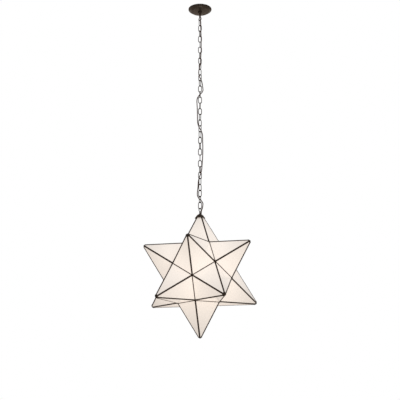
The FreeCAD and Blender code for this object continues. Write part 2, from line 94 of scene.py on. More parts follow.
class Graph:
    """The node tree of one material."""

    def __init__(self, name: str) -> None:
        """Make an empty material with a Principled shader.

        Args:
            name: the material's name.
        """
        self.material = bpy.data.materials.new(name)
        self.material.use_nodes = True
        self.tree = self.material.node_tree
        self.tree.nodes.clear()
        self.shader = self.tree.nodes.new("ShaderNodeBsdfPrincipled")
        out = self.tree.nodes.new("ShaderNodeOutputMaterial")
        self.tree.links.new(self.shader.outputs[0], out.inputs[0])

    def node(self, kind: str, inputs: dict | None = None, output: int | str = 0, **settings) -> Signal:
        """Add any node.

        Args:
            kind: the node's type name.
            inputs: input name or index to a value or a Signal.
            output: the output to return.
            settings: attributes of the node.

        Returns:
            The chosen output as a Signal.
        """
        made = self.tree.nodes.new(kind)
        for key, value in settings.items():
            setattr(made, key, value)
        for key, value in (inputs or {}).items():
            self.feed(made.inputs[key], value)
        return Signal(self, made.outputs[output])

    def feed(self, socket: bpy.types.NodeSocket, value: object) -> None:
        """Give an input a constant or a link.

        Args:
            socket: the input.
            value: a Signal, a number or a tuple.
        """
        if isinstance(value, Signal):
            self.tree.links.new(value.socket, socket)
        else:
            socket.default_value = value

    def set(self, **inputs: object) -> None:
        """Set the shader's own sockets, with underscores for the spaces in their names."""
        for key, value in inputs.items():
            self.feed(self.shader.inputs[key.replace("_", " ")], value)

    def coordinates(self, uv: bool = False) -> Signal:
        """Object coordinates, or the piece's own UV."""
        return self.node("ShaderNodeTexCoord", output="UV" if uv else "Object")

    def noise(self, at: Signal, scale: float, detail: float, rough: float = 0.6) -> Signal:
        """Noise between 0 and 1: scale blotches per metre, with detail octaves."""
        inputs = {"Vector": at, "Scale": scale, "Detail": detail, "Roughness": rough}
        return self.node("ShaderNodeTexNoise", inputs)

    def stretched(self, at: Signal, scale: Triple) -> Signal:
        """Coordinates scaled differently along each axis."""
        return self.node("ShaderNodeMapping", {"Vector": at, "Scale": scale})

    def blend(self, factor: Signal, first: Triple, second: Triple) -> Signal:
        """Two colours mixed: the first where the factor is 0, the second where it is 1."""
        inputs = {"Factor": factor, 6: (*first, 1.0), 7: (*second, 1.0)}
        return self.node("ShaderNodeMix", inputs, output=2, data_type="RGBA")

    def bump(self, height: Signal, distance: float, strength: float = 1.0) -> Signal:
        """A normal bumped by a height field, with distance metres to each unit of height."""
        inputs = {"Height": height, "Distance": distance, "Strength": strength}
        return self.node("ShaderNodeBump", inputs)


# ---- finishes ----


@dataclass(frozen=True)
class MetalFinish:
    """A mottled metal; where edge is given, it darkens outwards between those two radii."""

    name: str
    dark: Triple
    light: Triple
    blotch: float
    metallic: float
    rough: Pair
    bump: float
    coat: float = 0.0
    coat_rough: float = 0.25
    edge: Pair | None = None
    edge_tone: float = 0.45
    specular: float = 0.36
    tint: Triple = (1.0, 0.84, 0.72)

    def make(self) -> bpy.types.Material:
        """Build the material.

        Returns:
            The material.
        """
        graph = Graph(self.name)
        at = graph.coordinates()
        broad = graph.noise(at, self.blotch, 6.0)
        fine = graph.noise(at, self.blotch * 9, 3.0)
        mask = (broad * 0.75 + fine * 0.25).ramp(0.38, 0.62)
        if self.edge:
            flat = graph.stretched(at, (1.0, 1.0, 0.0))
            reach = graph.node("ShaderNodeVectorMath", {0: flat}, output=1, operation="LENGTH")
            mask = mask * reach.ramp(*self.edge, 1.0, self.edge_tone)
        graph.set(
            Base_Color=graph.blend(mask, self.dark, self.light),
            Metallic=self.metallic,
            Roughness=mask.ramp(0.0, 1.0, *self.rough),
            Coat_Weight=self.coat,
            Coat_Roughness=self.coat_rough,
            Specular_IOR_Level=self.specular,
            Specular_Tint=(*self.tint, 1.0),
            Normal=graph.bump(fine + broad, self.bump),
        )
        return graph.material


@dataclass(frozen=True)
class GlassFinish:
    """Opal sheet glass with faint streaks and a painted glow: emission that stands in for the bulb's
    light through the glass, brightest near the centre of the star and painted dimmer towards the tips.
    """

    name: str
    warm: Triple
    cool: Triple
    # painted light: glow is the emission colour near the star's centre, dim the weaker painted glow
    # towards the tips
    glow: Triple
    dim: Triple
    strength: float
    centre: Triple = (0.0, -0.02, -1.53)
    fade: Pair = (0.37, 0.19)
    rough: Pair = (0.16, 0.30)

    def make(self) -> bpy.types.Material:
        """Build the material.

        Returns:
            The material.
        """
        graph = Graph(self.name)
        at = graph.coordinates(uv=True)
        streak = graph.noise(graph.stretched(at, (1.0, 0.35, 1.0)), 26.0, 5.0)
        mottle = graph.noise(at, 210.0, 3.0)
        tone = graph.node("ShaderNodeAttribute", output=2, attribute_name="tone")
        mask = (streak * 0.5 + mottle * 0.3 + tone * 0.2).ramp(0.32, 0.68)
        ripple = graph.noise(at, 60.0, 2.0, 0.5)
        # painted light: the glass emits a glow that fades with distance from the star's centre, standing
        # in for the bulb shining through it
        ends = {0: graph.coordinates(), 1: self.centre}
        away = graph.node("ShaderNodeVectorMath", ends, output=1, operation="DISTANCE")
        near = away.ramp(*self.fade) * mask.ramp(0.0, 1.0, 0.94, 1.0)
        graph.set(
            Base_Color=graph.blend(mask, self.cool, self.warm),
            Roughness=mottle.ramp(0.3, 0.7, *self.rough),
            IOR=1.5,
            Emission_Color=graph.blend(near, self.dim, self.glow),
            Emission_Strength=self.strength,
            Normal=graph.bump(ripple + mottle * 0.3, 0.8 * MM, 0.6),
        )
        return graph.material


@dataclass(frozen=True)
class PlainFinish:
    """A plastic, jacket or frosted surface with fine grain."""

    name: str
    first: Triple
    second: Triple
    scale: float
    rough: Pair
    bump: float
    glow: float = 0.0

    def make(self) -> bpy.types.Material:
        """Build the material.

        Returns:
            The material.
        """
        graph = Graph(self.name)
        grain = graph.noise(graph.coordinates(), self.scale, 4.0)
        colour = graph.blend(grain.ramp(0.35, 0.65), self.first, self.second)
        graph.set(
            Base_Color=colour,
            Roughness=grain.ramp(0.3, 0.7, *self.rough),
            Emission_Color=colour,
            Emission_Strength=self.glow,
            Normal=graph.bump(grain, self.bump),
        )
        return graph.material


@dataclass(frozen=True)
class BrushedFinish:
    """Plated steel with fine lines, closest together along the axis with the largest factor."""

    name: str
    dark: Triple
    light: Triple
    lines: Triple
    rough: Pair = (0.42, 0.28)

    def make(self) -> bpy.types.Material:
        """Build the material.

        Returns:
            The material.
        """
        graph = Graph(self.name)
        at = graph.coordinates()
        brushed = graph.noise(graph.stretched(at, self.lines), 100.0, 3.0, 0.7)
        stain = graph.noise(at, 90.0, 4.0)
        mask = (brushed * 0.5 + stain * 0.5).ramp(0.35, 0.65)
        graph.set(
            Base_Color=graph.blend(mask, self.dark, self.light),
            Metallic=1.0,
            Roughness=mask.ramp(0.0, 1.0, *self.rough),
            Normal=graph.bump(brushed, 0.08 * MM),
        )
        return graph.material


class Paint(Enum):
    """Every finish of the pendant."""

    CANOPY = MetalFinish(
        "canopy_bronze", dark=(0.012, 0.008, 0.005), light=(0.062, 0.044, 0.031), blotch=95.0,
        metallic=0.6, rough=(0.44, 0.30), bump=0.12 * MM, coat=0.25, edge=(55.5 * MM, 60.5 * MM),
    )
    CHAIN = MetalFinish(
        "chain_bronze", dark=(0.012, 0.006, 0.003), light=(0.034, 0.018, 0.010), blotch=160.0,
        metallic=0.6, rough=(0.50, 0.36), bump=0.10 * MM, coat=0.05,
    )
    CAP = MetalFinish(
        "cap_bronze", dark=(0.009, 0.006, 0.004), light=(0.032, 0.022, 0.014), blotch=120.0,
        metallic=0.75, rough=(0.45, 0.33), bump=0.12 * MM, coat=0.15,
    )
    RIDGE = MetalFinish(
        "came_patina", dark=(0.010, 0.005, 0.002), light=(0.028, 0.015, 0.008), blotch=70.0,
        metallic=0.2, rough=(0.62, 0.50), bump=0.12 * MM,
    )
    # painted light: the valley cames are painted lighter than the ridge cames, a lit copy of the same
    # came patina
    VALLEY = MetalFinish(
        "valley_patina_and_painted_light", dark=(0.030, 0.017, 0.010), light=(0.070, 0.042, 0.027), blotch=70.0,
        metallic=0.2, rough=(0.62, 0.50), bump=0.12 * MM,
    )
    SOLDER = MetalFinish(
        "solder_patina", dark=(0.008, 0.005, 0.003), light=(0.018, 0.012, 0.008), blotch=160.0,
        metallic=0.3, rough=(0.55, 0.40), bump=0.30 * MM,
    )
    # painted light: the glass's glow and dim colours are emission standing in for the bulb inside
    GLASS = GlassFinish(
        "opal_glass", warm=(0.91, 0.852, 0.80), cool=(0.80, 0.772, 0.75),
        glow=(1.0, 0.87, 0.76), dim=(0.21, 0.18, 0.16), strength=0.33,
    )
    STEEL = BrushedFinish(
        "zinc_plate", dark=(0.42, 0.41, 0.38), light=(0.68, 0.67, 0.63), lines=(8.0, 1.0, 8.0)
    )
    SHELL = BrushedFinish(
        "screw_shell_plate", dark=(0.50, 0.44, 0.30), light=(0.78, 0.70, 0.50), lines=(1.0, 1.0, 14.0)
    )
    SOCKET = PlainFinish(
        "socket_phenolic", (0.012, 0.011, 0.011), (0.024, 0.022, 0.021), scale=350.0,
        rough=(0.55, 0.42), bump=0.05 * MM,
    )
    BULB = PlainFinish(
        "frosted_bulb", (0.90, 0.87, 0.82), (0.86, 0.83, 0.78), scale=500.0,
        rough=(0.55, 0.45), bump=0.02 * MM, glow=0.1,
    )
    CORD = PlainFinish(
        "cord_jacket", (0.036, 0.011, 0.005), (0.062, 0.022, 0.011), scale=420.0,
        rough=(0.50, 0.38), bump=0.08 * MM,
    )
    FLOOR = PlainFinish(
        "pale_floor", (0.86, 0.80, 0.74), (0.88, 0.82, 0.76), scale=3.0, rough=(0.8, 0.7), bump=0.0
    )

    @functools.cached_property
    def material(self) -> bpy.types.Material:
        """The finish's material, made once."""
        return self.value.make()


# ---- mesh helpers ----


@dataclass(frozen=True)
class Look:
    """How a piece is shown and what it stands for; edges past smooth degrees look sharp."""

    body: str
    paint: Paint
    slot: str
    replaces: tuple[str, ...] = ()
    smooth: float = 35.0


def to_object(name: str, bm: BMesh, paint: Paint) -> bpy.types.Object:
    """Put a mesh into the scene.

    Args:
        name: the object's name.
        bm: its mesh, which is freed.
        paint: its finish.

    Returns:
        The object.
    """
    mesh = bpy.data.meshes.new(name)
    bm.to_mesh(mesh)
    bm.free()
    mesh.materials.append(paint.material)
    obj = bpy.data.objects.new(name, mesh)
    bpy.context.collection.objects.link(obj)
    return obj


def loose_piece(name: str, bm: BMesh, look: Look) -> bpy.types.Object:
    """Finish a piece without tying it to a body.

    Args:
        name: the object's name.
        bm: its mesh, which is freed.
        look: how it is shown.

    Returns:
        The object.
    """
    bmesh.ops.recalc_face_normals(bm, faces=bm.faces)
    for face in bm.faces:
        face.smooth = True
    limit = math.radians(look.smooth)
    for edge in bm.edges:
        if len(edge.link_faces) == 2 and edge.calc_face_angle() > limit:
            edge.smooth = False
    obj = to_object(name, bm, look.paint)
    if look.replaces:
        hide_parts(*look.replaces)
    log.info("%s: %d faces on %s", name, len(obj.data.polygons), look.body)
    return obj


def piece(name: str, bm: BMesh, look: Look) -> None:
    """Finish a piece that rides its body."""
    obj = loose_piece(name, bm, look)
    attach(obj, look.body)


def only(kind: type, items: list) -> list:
    """The items of one kind."""
    return [item for item in items if isinstance(item, kind)]


def place(azimuth: float, radius: float, height: float) -> Vector:
    """A point from its direction in degrees, its distance from the axis and its height."""
    a = math.radians(azimuth)
    return Vector((radius * math.cos(a), radius * math.sin(a), height))


def lathe(bm: BMesh, profile: Profile, steps: int, closed: bool = True) -> None:
    """Turn a profile about the Z axis.

    Args:
        bm: the mesh to add to.
        profile: (radius, height) corners.
        steps: steps round.
        closed: join the last corner to the first.
    """
    verts = [bm.verts.new((r, 0, z)) for r, z in profile]
    count = len(verts)
    pairs = range(count if closed else count - 1)
    edges = [bm.edges.new((verts[i], verts[(i + 1) % count])) for i in pairs]
    bmesh.ops.spin(
        bm, geom=verts + edges, cent=(0, 0, 0), axis=(0, 0, 1), angle=2 * math.pi,
        steps=steps, use_merge=True,
    )
    bmesh.ops.remove_doubles(bm, verts=bm.verts, dist=NEAR / 10)
    bmesh.ops.dissolve_degenerate(bm, dist=NEAR / 10, edges=bm.edges)


def curve_point(first: Vector, control: Vector, last: Vector, t: float) -> tuple[float, float]:
    """A point of the curve from first to last that leans towards control."""
    return tuple(first * (1 - t) ** 2 + control * (2 * t * (1 - t)) + last * t * t)


def mirrored(right: Profile) -> Profile:
    """A closed section from its right half, which starts on the middle line."""
    return right + [(-x, y) for x, y in right[:0:-1]]


def fillet(corners: Profile, parts: int = 5) -> Profile:
    """Round the corners of a profile that ask for it.

    Args:
        corners: (radius, height), or (radius, height, length cut back on both sides).
        parts: pieces of each round.

    Returns:
        The profile, as (radius, height) corners.
    """
    out = []
    for i, (r, z, *cuts) in enumerate(corners):
        if not cuts:
            out.append((r, z))
            continue
        here = Vector((r, z))
        back = Vector(corners[i - 1][:2]) - here
        on = Vector(corners[(i + 1) % len(corners)][:2]) - here
        cut = min(cuts[0], 0.48 * back.length, 0.48 * on.length)  # leaves room for the next round
        first = here + back.normalized() * cut
        last = here + on.normalized() * cut
        out += [curve_point(first, here, last, k / parts) for k in range(parts + 1)]
    return out


def circle(bm: BMesh, sides: int, radius: float, matrix: Matrix) -> tuple[list[BMVert], list[BMEdge]]:
    """The vertices and edges of a new ring, placed by a matrix."""
    verts = bmesh.ops.create_circle(bm, segments=sides, radius=radius, matrix=matrix)["verts"]
    return verts, list({e for v in verts for e in v.link_edges})


def slab(bm: BMesh, corners: list[Vector], push: Vector) -> tuple[BMFace, list[BMVert]]:
    """A flat outline pushed along a vector.

    Args:
        bm: the mesh to add to.
        corners: the outline.
        push: from the outline to the far face.

    Returns:
        The near face and the far face's vertices.
    """
    face = bm.faces.new([bm.verts.new(c) for c in corners])
    made = bmesh.ops.extrude_face_region(bm, geom=[face])
    moved = only(BMVert, made["geom"])
    bmesh.ops.translate(bm, verts=moved, vec=push)
    return face, moved


@dataclass(frozen=True)
class Wire:
    """Round wire of the chain and of both loops."""

    radius: float = 2.0 * MM
    sides: int = 14
    bends: int = 14

    def bend(self, bm: BMesh, radius: float, straight: float, centre: Vector, azimuth: float) -> None:
        """Bend a closed ring or an oval link, in an upright plane.

        Args:
            bm: the mesh to add to.
            radius: of each crown, to the middle of the wire.
            straight: half the length of each straight leg; 0 for a round ring.
            centre: the middle.
            azimuth: direction of the plane in degrees.
        """
        along = place(azimuth, 1, 0)
        side = place(azimuth + 90, 1, 0)
        lift = Vector((0, 0, straight))
        start = centre + along * radius - lift
        turn = Matrix((along, side, Vector((0, 0, 1)))).transposed().to_4x4()
        verts, edges = circle(bm, self.sides, self.radius, Matrix.Translation(start) @ turn)
        ring = verts + edges
        for crown, way in ((centre + lift, lift * 2), (centre - lift, lift * -2)):
            if straight:
                made = bmesh.ops.extrude_edge_only(bm, edges=only(BMEdge, ring))
                moved = only(BMVert, made["geom"])
                bmesh.ops.translate(bm, verts=moved, vec=way)
                ring = moved + only(BMEdge, made["geom"])
            made = bmesh.ops.spin(bm, geom=ring, cent=crown, axis=side, angle=-math.pi, steps=self.bends)
            ring = list(made["geom_last"])
        bmesh.ops.remove_doubles(bm, verts=bm.verts, dist=NEAR)


@dataclass(frozen=True)
class Neck:
    """A turned neck below or above a ring, made wide in the ring's plane as a cast loop is."""

    radius: float
    end_radius: float
    spread: float
    thin: float
    steps: int = 48

    def flatten(self, bm: BMesh, azimuth: float, span: Pair, reach: float) -> None:
        """Widen the neck in its ring's plane and thin it across.

        Args:
            bm: the mesh that holds the neck.
            azimuth: direction of the ring's plane in degrees.
            span: lowest and highest height of the neck.
            reach: the neck's largest radius.
        """
        flat = place(azimuth, 1, 0)
        for v in bm.verts:
            if span[0] - NEAR < v.co.z < span[1] + NEAR and v.co.xy.length < reach + NEAR:
                along = flat * v.co.dot(flat)
                across = Vector((v.co.x, v.co.y, 0)) - along
                v.co += along * (self.spread - 1) + across * (self.thin - 1)


# ---- chain ----


@dataclass(frozen=True)
class Chain:
    """Oval links of round wire, from the canopy's loop down to the star's loop."""

    wire: Wire
    links: int = 33
    pitch: float = 34.33 * MM
    half_width: float = 9.0813 * MM
    spacing: float = 4.0487 * MM
    first_azimuth: float = 66.0
    turn: float = 99.0
    first_pivot: float = -73.5 * MM

    @property
    def length(self) -> float:
        """Between the middles of a link's two crowns."""
        return self.pitch + self.spacing

    @property
    def last_pivot(self) -> float:
        """Height of the lowest link's lower crown."""
        return self.first_pivot - self.links * self.pitch

    def azimuth(self, number: int) -> float:
        """Direction in degrees of a link's plane, counted from 1; 0 is the canopy's loop."""
        return self.first_azimuth + self.turn * (number - 1)

    def middle(self, number: int) -> float:
        """Height of a link's middle, counted from 1."""
        top = self.first_pivot + self.spacing - (number - 1) * self.pitch
        return top - self.length / 2

    def build(self) -> None:
        """Make every link on its own body."""
        straight = self.length / 2 - self.half_width
        for number in range(1, self.links + 1):
            bm = bmesh.new()
            centre = Vector((0, 0, self.middle(number)))
            self.wire.bend(bm, self.half_width, straight, centre, self.azimuth(number))
            node = f"chain_link_{number:02d}"
            look = Look(f"link_{number:02d}", Paint.CHAIN, "chain", (node,), 60.0)
            piece(f"link_wire_{number:02d}", bm, look)


# ---- canopy ----


@dataclass(frozen=True)
class Canopy:
    """Ceiling canopy, screw collar and loop."""

    wire: Wire
    chain: Chain
    radius: float = 67.5 * MM
    depth: float = 20.0 * MM
    wall: float = 1.2 * MM
    hole_radius: float = 5.0 * MM
    steps: int = 96
    collar_radius: float = 11.5 * MM
    collar_height: float = 5.0 * MM
    collar_edge: float = 0.6 * MM
    collar_bevel: float = 1.5 * MM
    knurl_width: float = 0.12 * MM
    knurl_depth: float = 0.25 * MM
    flange_radius: float = 11.2 * MM
    flange_height: float = 3.0 * MM
    ring_radius: float = 10.0 * MM
    shank_radius: float = 4.85 * MM
    shank_top: float = -2.5 * MM
    neck: Neck = Neck(radius=5.0 * MM, end_radius=4.0 * MM, spread=1.6, thin=0.8)

    @property
    def collar_bottom(self) -> float:
        """Height of the collar's underside."""
        return -self.depth - self.collar_height

    @property
    def flange_bottom(self) -> float:
        """Height of the flange's underside, where the cord comes out."""
        return self.collar_bottom - self.flange_height

    def pan_profile(self) -> Profile:
        """Outside of the spun pan from its rim inwards, and its inside back.

        Returns:
            The closed profile.
        """
        rim, depth, wall = self.radius, self.depth, self.wall
        outside = [
            (rim - 0.3 * MM, 0.0),
            (rim, -1.0 * MM),
            (rim, -4.0 * MM, 3.0 * MM),               # upright rim
            (rim - 3.6 * MM, -8.2 * MM, 2.6 * MM),    # shoulder
            (rim - 7.6 * MM, -8.4 * MM, 1.5 * MM),    # narrow ledge
            (rim - 9.0 * MM, -9.2 * MM, 1.2 * MM),
            (rim - 15.0 * MM, -15.9 * MM, 2.5 * MM),  # foot of the slope
            (rim - 18.0 * MM, -17.2 * MM, 2.5 * MM),
            (26.0 * MM, -19.4 * MM, 8.0 * MM),        # shallow dome
            (16.0 * MM, -depth),
            (self.hole_radius, -depth),
        ]
        inside = [
            (self.hole_radius, wall - depth), (24.0 * MM, wall - 19.2 * MM),
            (rim - 17.0 * MM, wall - 16.2 * MM), (rim - 9.6 * MM, wall - 8.6 * MM),
            (rim - 4.4 * MM, wall - 7.4 * MM), (rim - wall, -3.4 * MM), (rim - wall, 0.0),
        ]
        return fillet(outside) + inside

    def build(self) -> None:
        """Make the pan, the collar and the loop."""
        bm = bmesh.new()
        lathe(bm, self.pan_profile(), self.steps)
        piece("canopy_pan", bm, Look("ceiling", Paint.CANOPY, "canopy", ("canopy",)))
        self.build_collar()
        self.build_loop()

    def build_collar(self) -> None:
        """Make the ring nut with its shallow knurl."""
        bm = bmesh.new()
        side, edge, bevel = self.collar_radius, self.collar_edge, self.collar_bevel
        top, low = -self.depth, self.collar_bottom
        collar = [
            (self.hole_radius, top), (side - edge, top), (side, top - edge),
            (side, low + bevel, edge), (side - bevel, low, edge), (self.hole_radius, low),
        ]
        lathe(bm, fillet(collar), self.steps)
        self.knurl(bm, top - 0.8 * MM, low + bevel + 0.4 * MM)
        look = Look("ceiling", Paint.CANOPY, "canopy", ("loop_collar",), 20.0)
        piece("canopy_collar", bm, look)

    def build_loop(self) -> None:
        """Make the threaded shank, its flange, the neck and the ring."""
        bm = bmesh.new()
        neck, shank, low = self.neck, self.shank_radius, self.collar_bottom
        ring_height = self.chain.first_pivot + self.ring_radius
        ring_top = ring_height + self.ring_radius
        stem = [
            (0, self.shank_top), (shank, self.shank_top, 0.4 * MM), (shank, low),
            (self.flange_radius, low), (self.flange_radius, self.flange_bottom, 0.9 * MM),
            (neck.radius, self.flange_bottom), (neck.end_radius, ring_top, 1.4 * MM),
            (0, ring_top - 0.6 * MM),
        ]
        lathe(bm, fillet(stem), neck.steps, closed=False)
        azimuth = self.chain.azimuth(0)
        neck.flatten(bm, azimuth, (ring_top - 2.0 * MM, self.flange_bottom), neck.radius)
        self.wire.bend(bm, self.ring_radius, 0, Vector((0, 0, ring_height)), azimuth)
        piece("canopy_screw_loop", bm, Look("ceiling", Paint.CANOPY, "canopy", ("canopy_loop",)))

    def knurl(self, bm: BMesh, top: float, low: float) -> None:
        """Press shallow grooves into every other strip of the collar's side.

        Args:
            bm: the collar.
            top: where the grooves start.
            low: where they end.
        """
        sides = []
        for face in bm.faces:
            middle = face.calc_center_median()
            if abs(middle.xy.length - self.collar_radius) < 0.2 * MM and low < middle.z < top:
                sides.append((math.atan2(middle.y, middle.x), face))
        sides.sort(key=lambda side: side[0])
        chosen = [face for _, face in sides[::2]]
        bmesh.ops.inset_individual(bm, faces=chosen, thickness=self.knurl_width, depth=-self.knurl_depth)


# ---- cap ----


@dataclass(frozen=True)
class Cap:
    """Vase cap and the star's loop."""

    wire: Wire
    chain: Chain
    rim_radius: float = 26.25 * MM
    rim_height: float = -1259.6 * MM
    height: float = 20.8 * MM
    wall: float = 1.2 * MM
    bead: float = 2.8 * MM
    bead_reach: float = 1.9 * MM
    bead_drop: float = 0.3 * MM
    bead_round: float = 0.8 * MM
    lip: float = 1.3 * MM
    hole_radius: float = 5.0 * MM
    steps: int = 72
    foot_radius: float = 9.8 * MM
    foot_thickness: float = 2.0 * MM
    ring_radius: float = 9.5 * MM
    ring_azimuth: float = 64.0
    neck: Neck = Neck(radius=3.7 * MM, end_radius=3.0 * MM, spread=1.6, thin=0.9)
    neck_round: float = 0.7 * MM

    @property
    def top(self) -> float:
        """Height of the cap's flat top."""
        return self.rim_height + self.height

    @property
    def foot_top(self) -> float:
        """Height of the upper side of the loop's foot, where the cord goes in."""
        return self.top + self.foot_thickness

    def shell_profile(self) -> Profile:
        """Outside of the cap from its rim up, and its inside back.

        Returns:
            The closed profile.
        """
        rim, low, top, bead = self.rim_radius, self.rim_height, self.top, self.bead
        fall = self.height - self.lip
        across = rim - self.foot_radius
        outside = [
            (rim - 0.2 * MM, low - self.bead_drop),
            (rim + self.bead_reach, low - self.bead_drop, self.bead_round),
            (rim + self.bead_reach, low + bead, self.bead_round),
            (rim - 0.7 * MM, low + bead + 1.2 * MM, 0.7 * MM),
            (rim - 0.20 * across, top - 0.62 * fall, 3.0 * MM),
            (rim - 0.46 * across, top - 0.27 * fall, 4.0 * MM),
            (self.foot_radius + 3.2 * MM, top - 0.8 * MM, 1.5 * MM),
            (self.foot_radius, top),
            (self.hole_radius, top),
        ]
        inside = [
            (self.hole_radius, top - self.wall), (self.foot_radius - 0.5 * MM, top - self.wall),
            (rim - 0.48 * across - 0.9 * MM, top - 0.28 * fall - 1.2 * MM),
            (rim - 0.20 * across - 1.3 * MM, top - 0.68 * fall - 0.2 * MM),
            (rim - self.wall - 0.4 * MM, low + bead), (rim - self.wall, low),
        ]
        return fillet(outside) + inside

    def build(self) -> None:
        """Make the cap and the loop."""
        bm = bmesh.new()
        lathe(bm, self.shell_profile(), self.steps)
        piece("cap_shell", bm, Look("star", Paint.CAP, "cap", ("vase_cap",)))

        bm = bmesh.new()
        neck, foot = self.neck, self.foot_radius
        ring_height = self.chain.last_pivot + self.chain.spacing - self.ring_radius
        ring_low = ring_height - self.ring_radius
        stem = [
            (0, self.top), (foot, self.top), (foot, self.foot_top, 0.9 * MM),
            (neck.radius, self.foot_top, self.neck_round),
            (neck.end_radius, ring_low - 1.0 * MM, 1.2 * MM), (0, ring_low + 0.4 * MM),
        ]
        lathe(bm, fillet(stem), neck.steps, closed=False)
        span = (self.foot_top, ring_low + 1.0 * MM)
        neck.flatten(bm, self.ring_azimuth, span, neck.radius + self.neck_round)
        self.wire.bend(bm, self.ring_radius, 0, Vector((0, 0, ring_height)), self.ring_azimuth)
        piece("star_ring", bm, Look("star", Paint.CAP, "cap", ("star_loop",)))


# ---- cord ----


class Way(Enum):
    """How the cord passes a link."""

    BESIDE = "beside"
    THROUGH = "through"


@dataclass(frozen=True)
class CordStop:
    """One place of the cord's route: a direction beside a link, or a side it enters from."""

    link: int
    way: Way
    value: float


CORD_STOPS = (
    CordStop(1, Way.BESIDE, 290),
    CordStop(3, Way.BESIDE, 304),
    CordStop(5, Way.BESIDE, 308),
    CordStop(7, Way.BESIDE, 304),
    CordStop(9, Way.BESIDE, 285),
    CordStop(11, Way.THROUGH, -1),
    CordStop(14, Way.THROUGH, 1),
    CordStop(20, Way.THROUGH, 1),
    CordStop(28, Way.THROUGH, 1),
    CordStop(32, Way.THROUGH, -1),
)


@dataclass(frozen=True)
class Cord:
    """Lamp cord: one smooth line, cut into lengths at the links' middles."""

    chain: Chain
    canopy: Canopy
    cap: Cap
    radius: float = 2.7 * MM
    lay: float = 16.0 * MM
    crossing_reach: float = 19.5 * MM
    crossing_rise: float = 16.5 * MM
    longest_run: float = 70.0 * MM
    shortest_run: float = 30.0 * MM
    longest_turn: float = 25.0
    end_run: float = 16.0 * MM
    last_turn: float = 8.0
    last_turn_rise: float = 38.0 * MM
    top_offset: float = 8.2 * MM
    end_offset: float = 6.9 * MM
    end_gap: float = 0.2 * MM
    top_azimuth: float = 283.0
    end_azimuth: float = 357.0
    bend_reach: float = 9.0 * MM

    def stops(self) -> list[tuple[float, float, float, bool]]:
        """The places that the cord passes.

        Returns:
            Azimuth, distance, height and whether the place ends a crossing, in order.
        """
        places = []
        for stop in CORD_STOPS:
            middle = self.chain.middle(stop.link)
            if stop.way is Way.BESIDE:
                places.append((stop.value, self.lay, middle, False))
                continue
            azimuth = self.chain.azimuth(stop.link) + 90 * stop.value
            reach, rise = self.crossing_reach, self.crossing_rise
            places.append((azimuth, reach, middle + rise, False))
            places.append((azimuth + 180, reach, middle - rise, True))
        return places

    def corners(self) -> list[Vector]:
        """Corners of the whole route.

        Returns:
            The points from the canopy's loop to the star's foot.
        """
        top, foot = self.canopy.flange_bottom, self.cap.foot_top
        points = [place(self.top_azimuth, self.top_offset, top - run) for run in (0, self.end_run)]
        before = None
        for azimuth, reach, z, crossing in self.stops():
            if before and not crossing:
                turn = (azimuth - before[0] + 180) % 360 - 180
                drop = z - before[1]
                runs = max(math.ceil(-drop / self.longest_run), math.ceil(abs(turn) / self.longest_turn))
                runs = min(runs, max(1, int(-drop / self.shortest_run)))
                for k in range(1, runs):
                    t = k / runs
                    points.append(place(before[0] + turn * t, self.lay, before[1] + drop * t))
            points.append(place(azimuth, reach, z))
            before = (azimuth, z)
        points.append(place(self.end_azimuth - self.last_turn, self.lay, foot + self.last_turn_rise))
        for run in (self.end_run, self.end_gap):
            points.append(place(self.end_azimuth, self.end_offset, foot + run))
        return points

    def tube(self) -> BMesh:
        """The whole cord as a mesh.

        Returns:
            The mesh.
        """
        curve = bpy.data.curves.new("cord_line", "CURVE")
        curve.dimensions = "3D"
        curve.bevel_depth = self.radius
        curve.bevel_resolution = 3
        curve.use_fill_caps = True
        points = self.corners()
        spline = curve.splines.new("NURBS")
        spline.points.add(len(points) - 1)
        for point, corner in zip(spline.points, points):
            point.co = (*corner, 1.0)
        spline.order_u = 3
        spline.use_endpoint_u = True
        spline.resolution_u = 10
        holder = bpy.data.objects.new("cord_line", curve)
        bpy.context.collection.objects.link(holder)
        bpy.context.view_layer.update()
        depsgraph = bpy.context.evaluated_depsgraph_get()
        mesh = bpy.data.meshes.new_from_object(holder.evaluated_get(depsgraph))
        bm = bmesh.new()
        bm.from_mesh(mesh)
        bpy.data.objects.remove(holder)
        bpy.data.curves.remove(curve)
        bpy.data.meshes.remove(mesh)
        return bm

    def build(self) -> None:
        """Cut the tube at each link's middle into separate lengths."""
        whole = self.tube()
        numbers = range(1, self.chain.links + 1)
        bodies = ["ceiling"] + [f"link_{n:02d}" for n in numbers] + ["star"]
        cuts = [None] + [self.chain.middle(n) for n in numbers] + [None]
        for k in range(self.chain.links + 1):
            bm = whole.copy()
            for height, keep_above in ((cuts[k], False), (cuts[k + 1], True)):
                if height is None:
                    continue
                bmesh.ops.bisect_plane(
                    bm, geom=bm.verts[:] + bm.edges[:] + bm.faces[:], plane_co=(0, 0, height),
                    plane_no=(0, 0, 1), clear_outer=not keep_above, clear_inner=keep_above,
                )
            look = Look(bodies[k], Paint.CORD, "cord", ("lamp_cord",), 60.0)
            obj = loose_piece(f"cord_length_{k + 1:02d}", bm, look)
            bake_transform(obj)
        whole.free()


# ---- star ----


